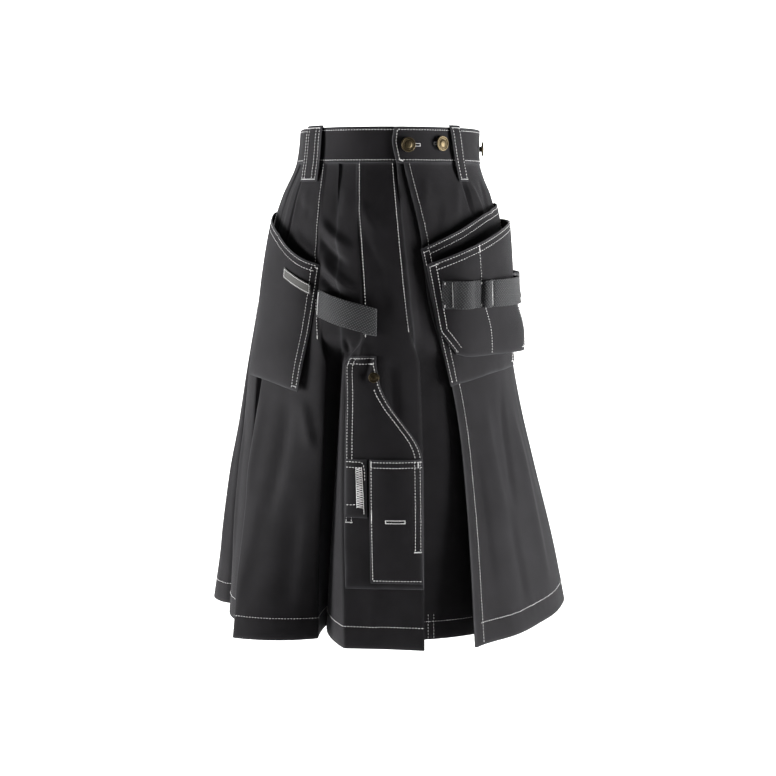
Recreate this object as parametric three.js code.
// A wrap-around work kilt with box pleats, in heavy cotton canvas.
// Millimetres, +Z up. The origin is the middle of the waist ring, halfway up the waistband.
// The front of the garment faces -Y and the wearer's right side is -X.
// A turn is an angle in degrees from the front: 90 is the wearer's left, 180 the back, 270 the right.
// A lift is how far a point stands out from the plain form of the skirt, along the plan radius.
import * as THREE from "three";

// Cloth and sewing
const CLOTH = 1.6; // thickness of a canvas wall
const BAND_CLOTH = 3.2; // waistband: two layers and the turnings between them
const STRAP = 1.8; // webbing and belt loops
const SEAM = 0.3; // gap where two pieces are sewn edge to edge
const LAY = 0.7; // gap under a piece that lies on a curved one
const BACK_LAY = 0.9; // gap under a back pocket, which lies over pleat edges
const STEP_DOWN = 1.8; // how far the cloth between two stitched-down pleats lies back

// Lengths
const BAND_TOP = 20;
const BAND_FOOT = -20;
const SKIRT_TOP = BAND_FOOT - SEAM;
const STITCH_END = -222; // the pleats are sewn down to here
const SPREAD = -256; // and have sprung open here
const HEM = -580;
const UNDER_HEM = HEM + 4;

// The plain form: half sizes of the garment at each height
const FORM = [
  { z: 30, side: 138, front: 112, back: 109 },
  { z: -20, side: 140, front: 113, back: 116 },
  { z: -60, side: 150, front: 127, back: 134 },
  { z: -100, side: 160, front: 138, back: 147 },
  { z: -150, side: 170, front: 146, back: 158 },
  { z: -215, side: 180, front: 152, back: 170 },
  { z: -267, side: 188, front: 157, back: 180 },
  { z: -333, side: 198, front: 169, back: 191 },
  { z: -392, side: 208, front: 183, back: 201 },
  { z: -474, side: 221, front: 202, back: 214 },
  { z: -580, side: 237, front: 224, back: 230 },
];

// Rows of points down the skirt
const SEWN_ROWS = [SKIRT_TOP, -58, -100, -145, -190, STITCH_END];
const LOOSE_ROWS = [-233, -244, SPREAD, -275, -300, -345, -400, -460, -520, HEM];
const ROWS = [...SEWN_ROWS, ...LOOSE_ROWS];

// The four heights that the pleat tables give turns for
const KEYS = [BAND_FOOT, STITCH_END, SPREAD, HEM];

// Box pleats in order round the body: the turns of both folds at the key heights, and then at the
// hem the lift of each fold and the swell of the face between them
const PLEATS = [
  { name: "left_side", from: [83, 77, 75, 79], to: [101, 95, 101, 99] },
  { name: "left_quarter", from: [121, 112, 109, 112], to: [140, 137, 141, 133] },
  { name: "left_rear", from: [151, 150, 149, 144], to: [166, 164, 163, 161] },
  { name: "back", from: [171.5, 171, 170.5, 170], to: [188.5, 189, 189.5, 189.2] },
  { name: "right_rear", from: [194, 196, 197, 200], to: [209, 210, 211, 217] },
  { name: "right_quarter", from: [220, 223, 218.5, 228.5], to: [239.4, 248, 250.6, 250] },
  { name: "right_side", from: [259, 265.2, 258.4, 261.5], to: [277.2, 283.2, 286.2, 284.9] },
];
const PLEAT_HEMS = [
  { lift: [3, -6], swell: -5 },
  { lift: [-24, 14], swell: 3 },
  { lift: [-12, -17], swell: 4 },
  { lift: [-12, -17], swell: 16 },
  { lift: [-21, -19], swell: 3 },
  { lift: [24, -35], swell: 4 },
  { lift: [-8, 0], swell: -7 },
];

// The valley before each pleat, and the one after the last: its turn and how deep its cloth lies
const VALLEYS = [
  { turn: [81.8, 75.8, 73.4, 77.5], depth: [STEP_DOWN, STEP_DOWN, 14, 36] },
  { turn: [111, 103.5, 105, 116], depth: [STEP_DOWN, STEP_DOWN, 24, 82] },
  { turn: [145.5, 143.5, 145.5, 140], depth: [STEP_DOWN, STEP_DOWN, 22, 68] },
  { turn: [168.7, 167.5, 167, 165.5], depth: [STEP_DOWN, STEP_DOWN, 17, 56] },
  { turn: [191.3, 192.5, 193.2, 195], depth: [STEP_DOWN, STEP_DOWN, 18, 60] },
  { turn: [214.5, 216.5, 214.5, 222], depth: [STEP_DOWN, STEP_DOWN, 25, 72] },
  { turn: [249, 256.5, 254.5, 243.5], depth: [STEP_DOWN, STEP_DOWN, 26, 88] },
  { turn: [278.4, 284.2, 285, 282.8], depth: [STEP_DOWN, STEP_DOWN, 12, 30] },
];

// The outer apron: its free edge down the wearer's right, and the waves of its hem
const APRON_EDGE = [
  { z: -20, turn: -78 },
  { z: -100, turn: -72 },
  { z: -182, turn: -69.4 },
  { z: -235, turn: -64.8 },
  { z: -284, turn: -61 },
  { z: -362, turn: -59 },
  { z: -580, turn: -60.5 },
];
const APRON_FOLD = [80, 74.4, 70.5, 72]; // its fold on the wearer's left, at the key heights
const APRON_WAVES = [
  { turn: -61, lift: 9 },
  { turn: -55, lift: 0 },
  { turn: -44, lift: -4 },
  { turn: -25, lift: -10 },
  { turn: -5, lift: -2 },
  { turn: 12, lift: 5 },
  { turn: 35, lift: -7 },
  { turn: 55, lift: 0 },
  { turn: 72, lift: 3 },
];

// The inner apron, under the outer one
const UNDER_LIFT = -3.8;
const UNDER_HEM_LIFT = -28;
const UNDER_END = 58;

// The waistband is one strip that starts at its outer end, which is slightly bowed, and passes once
// round and under itself
const BAND_LIFT = 0.8;
const BAND_START = [
  { z: BAND_TOP, turn: -82.2 },
  { z: 0, turn: -83.2 },
  { z: BAND_FOOT, turn: -81.2 },
];
const BAND_STEP_IN = [238, 270]; // turns between which it steps in under its own outer end
const BAND_FINISH = 360 + UNDER_END;
const BAND_STEPS = 66;
const BAND_FADE = 60; // below the waistband, the skirt runs out to the plain form over this height

// Patch pockets as outlines of turns and heights: the mouth and the foot, each from its side edge
// to its inner edge, with the stand-off in the middle of the mouth and of the body. Cut is how far
// the corners at the foot are cut off, as a turn, and loose how far the inner one stands out.
const BACK_POCKET = {
  mouth: [{ turn: 113.6, z: -140 }, { turn: 122.5, z: -130 }, { turn: 140, z: -102 }, { turn: 163, z: -80 }],
  foot: [{ turn: 119, z: -287 }, { turn: 135, z: -279 }, { turn: 151.5, z: -276 }],
  gape: 6,
  belly: 7,
  cut: 0,
  loose: 0,
};
const UNDER_POCKET = {
  mouth: [{ turn: 72.2, z: -121 }, { turn: 57, z: -102 }, { turn: 35, z: -80 }, { turn: 5, z: -69 }],
  foot: [{ turn: 62, z: -280 }, { turn: 56, z: -277 }, { turn: 35, z: -270 }, { turn: 7, z: -270 }],
  gape: 6,
  belly: 5,
  cut: 0,
  loose: 0,
};
const HOLSTER = {
  mouth: [{ turn: 70.4, z: -139 }, { turn: 52, z: -117 }, { turn: 31, z: -97 }, { turn: 6, z: -89 }],
  foot: [{ turn: 59.5, z: -243 }, { turn: 53, z: -247 }, { turn: 36, z: -248 }, { turn: 9, z: -250 }],
  gape: 9,
  belly: 8,
  cut: 3.9,
  loose: 13,
};
const CUT_AT = 0.75; // how far down the corners are cut from
const LOOSE_FROM = { down: 0.5, across: 0.6 };
const LOOSE_OVER = 0.4;

// Webbing across a holster, slack in three places
const TOOL_WEB = { top: -158, foot: -189, from: 65.3, to: 7 };
const TOOL_LOOPS = [
  { from: 61.5, to: 53.2, slack: 8 },
  { from: 49.6, to: 44.4, slack: 4 },
  { from: 43, to: 12, slack: 8 },
];

// The hammer loop: a strap from the back pocket to the pleat seam
const HAMMER_PATH = [
  { turn: 245.9, lift: 1.95, z: -184 },
  { turn: 249, lift: 6.4, z: -186 },
  { turn: 254, lift: 13, z: -190 },
  { turn: 260, lift: 15.5, z: -195 },
  { turn: 266, lift: 13, z: -200 },
  { turn: 269.6, lift: 9.5, z: -203.5 },
  { turn: 270.4, lift: 6.4, z: -204.5 },
  { turn: 268.6, lift: 2.7, z: -204 },
  { turn: 265.4, lift: 0.4, z: -203 },
];
const HAMMER_WIDTH = 30;

// The leg pocket and what is on it, on the face of the pleat at the wearer's right side:
// across is 0 at the rear fold and 1 at the front fold
const LEG_POCKET = [
  { z: -244, from: 0.02, to: 0.39 },
  { z: -262, from: 0.03, to: 0.44 },
  { z: -280, from: 0.05, to: 0.49 },
  { z: -303, from: 0.06, to: 0.62 },
  { z: -325, from: 0.06, to: 0.79 },
  { z: -345, from: 0.06, to: 0.93 },
  { z: -362, from: 0.06, to: 0.985 },
  { z: -410, from: 0.05, to: 0.985 },
  { z: -510, from: 0.05, to: 0.985 },
];
const PHONE_POCKET = { top: -362, foot: -503, from: 0.36, to: 0.975, belly: 3 };
const PEN_POCKET = { top: -362, foot: -428, from: 0.07, to: 0.325, belly: 2 };

// Belt loops. Lean is how far round the top of one stands from its middle.
const LOOPS = [
  { name: "front_right", turn: -44.5, lean: -2.6, width: 18 },
  { name: "front_left", turn: 44.5, lean: 2.6, width: 18 },
  { name: "rear_left", turn: 130.5, lean: 0, width: 34 },
  { name: "rear_right", turn: 229.5, lean: 0, width: 34 },
];
const LOOP_PATH = [
  { z: 23.5, lift: 3.2 },
  { z: 17, lift: 4.9 },
  { z: 5, lift: 6 },
  { z: -14, lift: 6.2 },
  { z: -29, lift: 5.2 },
  { z: -37, lift: 3.6 },
  { z: -41.5, lift: 3 },
];

// Buttons: a shank, a rim and a low dome
const BUTTON_PLACES = [
  { name: "waist_button_1", turn: -76.3, z: 0 },
  { name: "waist_button_2", turn: -57.4, z: 2 },
  { name: "waist_button_3", turn: 2, z: -2 },
];
const BUTTON = { radius: 8.8, height: 5.6, shank: 3.2, rim: 1.3 };
const SMALL_BUTTON = { radius: 6.2, height: 4.2, shank: 2.4, rim: 1 };
const SMALL_BUTTON_PLACE = { across: 0.4, z: -268 };

const LABEL = { from: 243.6, to: 230.8, top: -163, drop: 11, slant: 19, thick: 1 };

const canvas = new THREE.MeshStandardMaterial({ color: 0x17171a, roughness: 0.92, metalness: 0 });
const webbing = new THREE.MeshStandardMaterial({ color: 0x34363a, roughness: 0.85, metalness: 0 });
const brass = new THREE.MeshStandardMaterial({ color: 0x8a7448, roughness: 0.4, metalness: 0.9 });
const labelCloth = new THREE.MeshStandardMaterial({ color: 0x8d8d86, roughness: 0.8, metalness: 0 });

const mix = (a, b, t) => a + (b - a) * t;
const clamp01 = (t) => Math.min(1, Math.max(0, t));
const ease = (t) => clamp01(t) ** 2 * (3 - 2 * clamp01(t));
const radians = (degrees) => (degrees * Math.PI) / 180;

// A smooth curve through the rows of a table, read at x
function through(xs, ys, x) {
  const rising = xs[0] < xs[xs.length - 1];
  const px = rising ? xs : [...xs].reverse();
  const py = rising ? ys : [...ys].reverse();
  const last = px.length - 1;
  if (x <= px[0]) return py[0];
  if (x >= px[last]) return py[last];
  let k = 0;
  while (x > px[k + 1]) k += 1;
  const slope = (i) => {
    const a = Math.max(0, i - 1);
    const b = Math.min(last, i + 1);
    return (py[b] - py[a]) / (px[b] - px[a]);
  };
  const wide = px[k + 1] - px[k];
  const t = (x - px[k]) / wide;
  const rise = (t ** 3 - 2 * t ** 2 + t) * slope(k) + (t ** 3 - t ** 2) * slope(k + 1);
  return mix(py[k], py[k + 1], t ** 2 * (3 - 2 * t)) + wide * rise;
}

const column = (table, name) => table.map((row) => row[name]);
const read = (table, key, x, name) => through(column(table, key), column(table, name), x);
const atKeys = (values, z) => through(KEYS, values, z);

// The place of a turn, height and lift
function place(turn, z, lift) {
  const across = Math.sin(radians(turn));
  const ahead = Math.cos(radians(turn));
  const side = read(FORM, "z", z, "side");
  const deep = read(FORM, "z", z, ahead > 0 ? "front" : "back");
  const radius = 1 / Math.hypot(across / side, ahead / deep) + lift;
  return new THREE.Vector3(radius * across, -radius * ahead, z);
}

// How far the skirt's loose lower part has opened: 0 at the end of the stitching and 1 at the hem
const opened = (z) => clamp01((STITCH_END - z) / (STITCH_END - HEM)) ** 1.3;

// How flat the cloth between two pleats lies: 1 where they are sewn down, 0 where they have sprung open
const sewn = (z) => 1 - ease((STITCH_END - z) / (STITCH_END - SPREAD));

// A closed wall from a grid of outer points: rows go down, and along a row the turn grows.
// Its thickness is level, so that its top and foot stay level too.
function wall(grid, thickness) {
  const rows = grid.length;
  const across = grid[0].length;
  const outer = grid.flat();
  const inner = [];
  for (let i = 0; i < rows; i += 1) {
    for (let j = 0; j < across; j += 1) {
      const down = grid[Math.min(rows - 1, i + 1)][j].clone().sub(grid[Math.max(0, i - 1)][j]);
      const along = grid[i][Math.min(across - 1, j + 1)].clone().sub(grid[i][Math.max(0, j - 1)]);
      const out = down.cross(along).setZ(0).normalize();
      inner.push(grid[i][j].clone().addScaledVector(out, -thickness));
    }
  }
  const places = [...outer, ...inner].flatMap((p) => [p.x, p.y, p.z]);
  const faces = [];
  const o = (i, j) => i * across + j;
  const n = (i, j) => rows * across + i * across + j;
  const quad = (a, b, c, d) => faces.push(a, b, c, a, c, d);
  for (let i = 0; i + 1 < rows; i += 1) {
    for (let j = 0; j + 1 < across; j += 1) {
      quad(o(i, j), o(i + 1, j), o(i + 1, j + 1), o(i, j + 1));
      faces.push(n(i, j), n(i + 1, j + 1), n(i + 1, j), n(i, j), n(i, j + 1), n(i + 1, j + 1));
    }
  }
  for (let j = 0; j + 1 < across; j += 1) {
    quad(o(0, j), o(0, j + 1), n(0, j + 1), n(0, j));
    quad(o(rows - 1, j + 1), o(rows - 1, j), n(rows - 1, j), n(rows - 1, j + 1));
  }
  for (let i = 0; i + 1 < rows; i += 1) {
    quad(o(i + 1, 0), o(i, 0), n(i, 0), n(i + 1, 0));
    quad(o(i, across - 1), o(i + 1, across - 1), n(i + 1, across - 1), n(i, across - 1));
  }
  const geometry = new THREE.BufferGeometry();
  geometry.setAttribute("position", new THREE.Float32BufferAttribute(places, 3));
  geometry.setIndex(faces);
  geometry.computeVertexNormals();
  return geometry;
}

const group = new THREE.Group();

function add(name, geometry, material) {
  const mesh = new THREE.Mesh(geometry, material);
  mesh.name = name;
  group.add(mesh);
  return mesh;
}

// The waistband's lift: where it steps in, the skirt sewn to it follows and then runs out to the form
const bandStep = (turn) => UNDER_LIFT * ease((turn - BAND_STEP_IN[0]) / (BAND_STEP_IN[1] - BAND_STEP_IN[0]));
const bandLeft = (z) => 1 - ease((SKIRT_TOP - z) / BAND_FADE);
const followBand = (turn, z) => (turn > BAND_STEP_IN[0] ? bandStep(turn) * bandLeft(z) : 0);

function waistband() {
  const grid = BAND_START.map(({ z, turn: start }) => {
    const row = [];
    for (let k = 0; k <= BAND_STEPS; k += 1) {
      const turn = mix(start, BAND_FINISH, k / BAND_STEPS);
      row.push(place(turn, z, BAND_LIFT + bandStep(turn)));
    }
    return row;
  });
  add("waistband", wall(grid, BAND_CLOTH), canvas);
}

// Pleats
const VALLEY_STOPS = [1, 0.7, 0.4, 0.14]; // share of the way from a fold down to the valley
const FACE_STOPS = [0, 0.06, 0.28, 0.5, 0.72, 0.94, 1];
const FOLD_ROUNDING = 0.7;
const SEAM_TURN = 0.08; // half the seam gap, as a turn

// A point on the face of a pleat, from 0 at its first fold to 1 at its second
function face(pleat, across, z) {
  const { from, to } = PLEATS[pleat];
  const { lift, swell } = PLEAT_HEMS[pleat];
  const turn = mix(atKeys(from, z), atKeys(to, z), across);
  const tilt = mix(lift[0], lift[1], across) + swell * 4 * across * (1 - across);
  return { turn, lift: tilt * opened(z) + followBand(turn, z) };
}

// The cloth from a fold down to the valley beside it
function flank(fold, valley, share, z, side) {
  const foot = -atKeys(valley.depth, z) + followBand(fold.turn, z);
  const turn = mix(fold.turn, atKeys(valley.turn, z) + side * SEAM_TURN, share);
  return { turn, lift: mix(fold.lift, foot, mix(share, 1, sewn(z))) };
}

function pleat(index) {
  const grid = ROWS.map((z) => {
    const first = face(index, 0, z);
    const second = face(index, 1, z);
    const places = [
      ...VALLEY_STOPS.map((share) => flank(first, VALLEYS[index], share, z, 1)),
      ...FACE_STOPS.map((across) => {
        const spot = face(index, across, z);
        return { turn: spot.turn, lift: spot.lift - (across % 1 === 0 ? FOLD_ROUNDING : 0) };
      }),
      ...[...VALLEY_STOPS].reverse().map((share) => flank(second, VALLEYS[index + 1], share, z, -1)),
    ];
    return places.map((spot) => place(spot.turn, z, spot.lift));
  });
  add(`pleat_${PLEATS[index].name}`, wall(grid, CLOTH), canvas);
}

// Aprons
const apronLift = (turn, z) => read(APRON_WAVES, "turn", turn, "lift") * opened(z);
const APRON_STEPS = 21;

function frontApron() {
  const grid = ROWS.map((z) => {
    const edge = read(APRON_EDGE, "z", z, "turn");
    const fold = atKeys(APRON_FOLD, z);
    const row = [];
    for (let k = 0; k <= APRON_STEPS; k += 1) {
      const turn = mix(edge, fold, k / APRON_STEPS);
      const end = k === APRON_STEPS ? FOLD_ROUNDING : 0;
      row.push(place(turn, z, apronLift(turn, z) - end));
    }
    const last = { turn: fold, lift: apronLift(fold, z) };
    for (const share of [...VALLEY_STOPS].reverse()) {
      const spot = flank(last, VALLEYS[0], share, z, -1);
      row.push(place(spot.turn, z, spot.lift));
    }
    return row;
  });
  add("front_apron", wall(grid, CLOTH), canvas);
}

const UNDER_STEPS = 17;
const UNDER_FADE = 0.12; // share of its width over which it leaves the pleat's valley

function underApron() {
  const valley = VALLEYS[VALLEYS.length - 1];
  const grid = ROWS.map((level) => {
    const z = Math.max(level, UNDER_HEM);
    const start = atKeys(valley.turn, z) - 360 + 4 * SEAM_TURN;
    const row = [];
    for (let k = 0; k <= UNDER_STEPS; k += 1) {
      const share = k / UNDER_STEPS;
      const inside = mix(UNDER_LIFT, UNDER_HEM_LIFT, opened(z));
      const beside = Math.min(UNDER_LIFT, -atKeys(valley.depth, z));
      row.push(place(mix(start, UNDER_END, share), z, mix(beside, inside, ease(share / UNDER_FADE))));
    }
    return row;
  });
  add("under_apron", wall(grid, CLOTH), canvas);
}

// Patch pockets. The same table serves both sides: a sign of -1 is the wearer's right, 1 the left.
const SIDES = [
  { word: "right", sign: -1 },
  { word: "left", sign: 1 },
];
const POCKET_ROWS = 8;
const POCKET_STEPS = 12;
const CLEAR = 1.1; // gap under a curved pocket that lies on another

// A point of a pocket: across from its side edge to its inner edge, and down from mouth to foot
function pocketSpot(pocket, across, down) {
  const edge = (rows, name) => through(rows.map((_, k) => k / (rows.length - 1)), column(rows, name), across);
  const corner = Math.max(0, Math.min(down / CUT_AT, (1 - down) / (1 - CUT_AT)));
  const cut = pocket.cut * corner * (1 - 2 * across) ** 3;
  return {
    turn: mix(edge(pocket.mouth, "turn"), edge(pocket.foot, "turn"), down) + cut,
    z: mix(edge(pocket.mouth, "z"), edge(pocket.foot, "z"), down),
  };
}

// How far a pocket stands off: nothing along its sewn edges, most in the middle and at the mouth.
// Full is how squarely the cloth rises beside its sewn edges, and foot how close to its foot.
const POCKET_FULL = 0.7;
const POCKET_FOOT = 6;
const bulge = (share, full) => Math.sin(Math.PI * clamp01(share)) ** full;
const footOff = (down) => 1 - clamp01(down) ** POCKET_FOOT;
function standOff(pocket, across, down) {
  const mouth = pocket.gape * (1 - clamp01(down)) ** 2;
  const inward = ease((across - LOOSE_FROM.across) / LOOSE_OVER);
  const corner = pocket.loose * inward * ease((clamp01(down) - LOOSE_FROM.down) / LOOSE_OVER);
  return bulge(across, POCKET_FULL) * (mouth + pocket.belly * footOff(down)) + corner;
}

// The stand-off of a pocket at a turn and height: its across and down are found step by step
const SEARCH_STEPS = 14;
function standOffAt(pocket, turn, z) {
  let across = 0.5;
  let down = 0.5;
  for (let k = 0; k < SEARCH_STEPS; k += 1) {
    const top = pocketSpot(pocket, across, 0);
    const foot = pocketSpot(pocket, across, 1);
    down = (z - top.z) / (foot.z - top.z);
    const start = pocketSpot(pocket, 0, clamp01(down)).turn;
    const end = pocketSpot(pocket, 1, clamp01(down)).turn;
    across = clamp01(across + (turn - pocketSpot(pocket, across, down).turn) / (end - start));
  }
  return standOff(pocket, across, down);
}

// The outer lift of each layer over the skirt, by unsigned turn. A back pocket's foot stands out
// from the pleats that spring open under it, from a little above the end of their stitching.
const SPRUNG = { out: 2.6, above: 10, over: 50 };
const overPleats = (z) => SPRUNG.out * ease((STITCH_END + SPRUNG.above - z) / SPRUNG.over);
const underPocketLift = (turn, z, sign) =>
  apronLift(sign * turn, z) + LAY + CLOTH + standOffAt(UNDER_POCKET, turn, z);
const holsterLift = (turn, z, sign) =>
  underPocketLift(turn, z, sign) + CLEAR + CLOTH + standOffAt(HOLSTER, turn, z);

function patch(pocket, sign, liftAt, name) {
  const grid = [];
  for (let i = 0; i <= POCKET_ROWS; i += 1) {
    const row = [];
    for (let j = 0; j <= POCKET_STEPS; j += 1) {
      const across = j / POCKET_STEPS;
      const spot = pocketSpot(pocket, across, i / POCKET_ROWS);
      const lift = liftAt(spot.turn, spot.z, sign);
      row.push(place(sign * spot.turn, spot.z, lift));
    }
    const grows = sign * (pocket.mouth[pocket.mouth.length - 1].turn - pocket.mouth[0].turn) > 0;
    grid.push(grows ? row : row.reverse());
  }
  add(name, wall(grid, CLOTH), canvas);
}

const backPocketLift = (turn, z) => overPleats(z) + BACK_LAY + CLOTH + standOffAt(BACK_POCKET, turn, z);

// A band of webbing across a holster, slack between its tacks
const WEB_STEPS = 30;
const SLACK_FULL = 0.6;
function toolWeb(sign, name) {
  const middle = (TOOL_WEB.top + TOOL_WEB.foot) / 2;
  const grid = [TOOL_WEB.top, middle, TOOL_WEB.foot].map((z) => {
    const row = [];
    for (let k = 0; k <= WEB_STEPS; k += 1) {
      const turn = mix(TOOL_WEB.from, TOOL_WEB.to, k / WEB_STEPS);
      const loop = TOOL_LOOPS.find(({ from, to }) => turn <= from && turn >= to);
      const slack = loop ? loop.slack * bulge((turn - loop.to) / (loop.from - loop.to), SLACK_FULL) : 0;
      row.push(place(sign * turn, z, holsterLift(turn, z, sign) + CLEAR + STRAP + slack));
    }
    return sign < 0 ? row : row.reverse();
  });
  add(name, wall(grid, STRAP), webbing);
}

function hammerLoop() {
  const grid = [HAMMER_WIDTH / 2, 0, -HAMMER_WIDTH / 2].map((rise) =>
    HAMMER_PATH.map((spot) => place(spot.turn, spot.z + rise, spot.lift)),
  );
  add("hammer_loop", wall(grid, STRAP), webbing);
}

// The leg pocket and the two on it follow the face of the pleat that carries them
const LEG_PLEAT = PLEATS.length - 1;
const LEG_STEPS = 8;
const LEG_ROWS = [8, 7]; // rows beside the mouth, and below it
const LEG_BREAK = -380; // where the rows below the mouth start
const LEG_BELLY = 2.5;
const LEG_FULL = 0.6;
const LEG_FOOT = 8; // how close to its top and foot the leg pocket fills out
const SMALL_ROWS = 7;

// A patch on the pleat's face between two heights, standing off by the given lift
function facePatch(name, heights, edges, liftAt) {
  const grid = heights.map((z) => {
    const { from, to } = edges(z);
    const row = [];
    for (let k = 0; k <= LEG_STEPS; k += 1) {
      const across = mix(from, to, k / LEG_STEPS);
      const spot = face(LEG_PLEAT, across, z);
      row.push(place(spot.turn, z, spot.lift + liftAt(across, z)));
    }
    return row;
  });
  add(name, wall(grid, CLOTH), canvas);
}

const legEdges = (z) => ({ from: read(LEG_POCKET, "z", z, "from"), to: read(LEG_POCKET, "z", z, "to") });
const shareOf = (value, { from, to }) => clamp01((value - from) / (to - from));
const legTop = LEG_POCKET[0].z;
const legFoot = LEG_POCKET[LEG_POCKET.length - 1].z;

function legLift(across, z) {
  const down = clamp01((z - legTop) / (legFoot - legTop));
  const belly = LEG_BELLY * bulge(shareOf(across, legEdges(z)), LEG_FULL);
  return LAY + CLOTH + belly * (1 - down ** LEG_FOOT) * ease(down * LEG_FOOT);
}

function smallPocketLift(pocket, across, z) {
  const down = (z - pocket.top) / (pocket.foot - pocket.top);
  const belly = pocket.belly * bulge(shareOf(across, pocket), LEG_FULL);
  return legLift(across, z) + LAY + CLOTH + belly * footOff(down);
}

function levels(top, foot, count) {
  return Array.from({ length: count + 1 }, (_, k) => mix(top, foot, k / count));
}

function legPockets() {
  const besideMouth = levels(legTop, PHONE_POCKET.top, LEG_ROWS[0]);
  facePatch("leg_pocket", [...besideMouth, ...levels(LEG_BREAK, legFoot, LEG_ROWS[1])], legEdges, legLift);
  for (const [name, pocket] of [["phone_pocket", PHONE_POCKET], ["pen_pocket", PEN_POCKET]]) {
    const lift = (across, z) => smallPocketLift(pocket, across, z);
    facePatch(name, levels(pocket.top, pocket.foot, SMALL_ROWS), () => pocket, lift);
  }
}

// Belt loops: straps that bow off the waistband
function beltLoop({ name, turn, lean, width }) {
  const top = LOOP_PATH[0].z;
  const middle = (top + LOOP_PATH[LOOP_PATH.length - 1].z) / 2;
  const grid = LOOP_PATH.map((spot) => {
    const leant = turn + (lean * (spot.z - middle)) / (top - middle);
    const wide = (width / place(turn, spot.z, 0).setZ(0).length()) * (180 / Math.PI);
    return [-0.5, -0.25, 0, 0.25, 0.5].map((share) => {
      const own = leant + share * wide;
      const step = own > BAND_STEP_IN[0] ? bandStep(own) : 0;
      return place(own, spot.z, spot.lift + step);
    });
  });
  add(`belt_loop_${name}`, wall(grid, STRAP), canvas);
}

// A turned button, its axis along +Y before it is placed
const BUTTON_SIDES = 18;
const BUTTON_ROUND = 0.5; // the rounding of its rim
const BUTTON_DOME = 1.2; // how far its middle stands over its rim
function button(name, size, spot, outward) {
  const under = size.height - size.rim - BUTTON_DOME;
  const over = under + size.rim;
  const profile = [
    [0, 0],
    [size.shank, 0],
    [size.shank, under],
    [size.radius * 0.9, under],
    [size.radius, under + BUTTON_ROUND],
    [size.radius, over],
    [size.radius * 0.88, over + BUTTON_ROUND],
    [size.radius * 0.8, over],
    [size.radius * 0.45, over + BUTTON_DOME * 0.7],
    [0, size.height],
  ].map(([x, y]) => new THREE.Vector2(x, y));
  const mesh = add(name, new THREE.LatheGeometry(profile, BUTTON_SIDES), brass);
  mesh.position.copy(spot);
  mesh.quaternion.setFromUnitVectors(new THREE.Vector3(0, 1, 0), outward);
}

// The way straight out of the plain form at a turn and height
function outwardAt(turn, z) {
  const along = place(turn + 1, z, 0).sub(place(turn - 1, z, 0));
  const down = place(turn, z - 2, 0).sub(place(turn, z + 2, 0));
  return down.cross(along).normalize();
}

function buttons() {
  for (const { name, turn, z } of BUTTON_PLACES) {
    button(name, BUTTON, place(turn, z, BAND_LIFT + SEAM), outwardAt(turn, z));
  }
  const { across, z } = SMALL_BUTTON_PLACE;
  const spot = face(LEG_PLEAT, across, z);
  const seat = place(spot.turn, z, spot.lift + legLift(across, z) + LAY);
  button("leg_button", SMALL_BUTTON, seat, outwardAt(spot.turn, z));
}

function label() {
  const grid = [0, 0.5, 1].map((down) =>
    [0, 0.25, 0.5, 0.75, 1].map((share) => {
      const turn = mix(LABEL.to, LABEL.from, share);
      const z = LABEL.top + LABEL.slant * (1 - share) - LABEL.drop * down;
      return place(turn, z, backPocketLift(360 - turn, z) + LAY + LABEL.thick);
    }),
  );
  add("label", wall(grid, LABEL.thick), labelCloth);
}

waistband();
PLEATS.forEach((_, index) => pleat(index));
frontApron();
underApron();
for (const { word, sign } of SIDES) {
  patch(BACK_POCKET, sign, backPocketLift, `back_pocket_${word}`);
  patch(UNDER_POCKET, sign, underPocketLift, `front_pocket_${word}`);
  patch(HOLSTER, sign, holsterLift, `holster_${word}`);
  toolWeb(sign, `tool_webbing_${word}`);
}
hammerLoop();
legPockets();
LOOPS.forEach(beltLoop);
buttons();
label();

export default group;
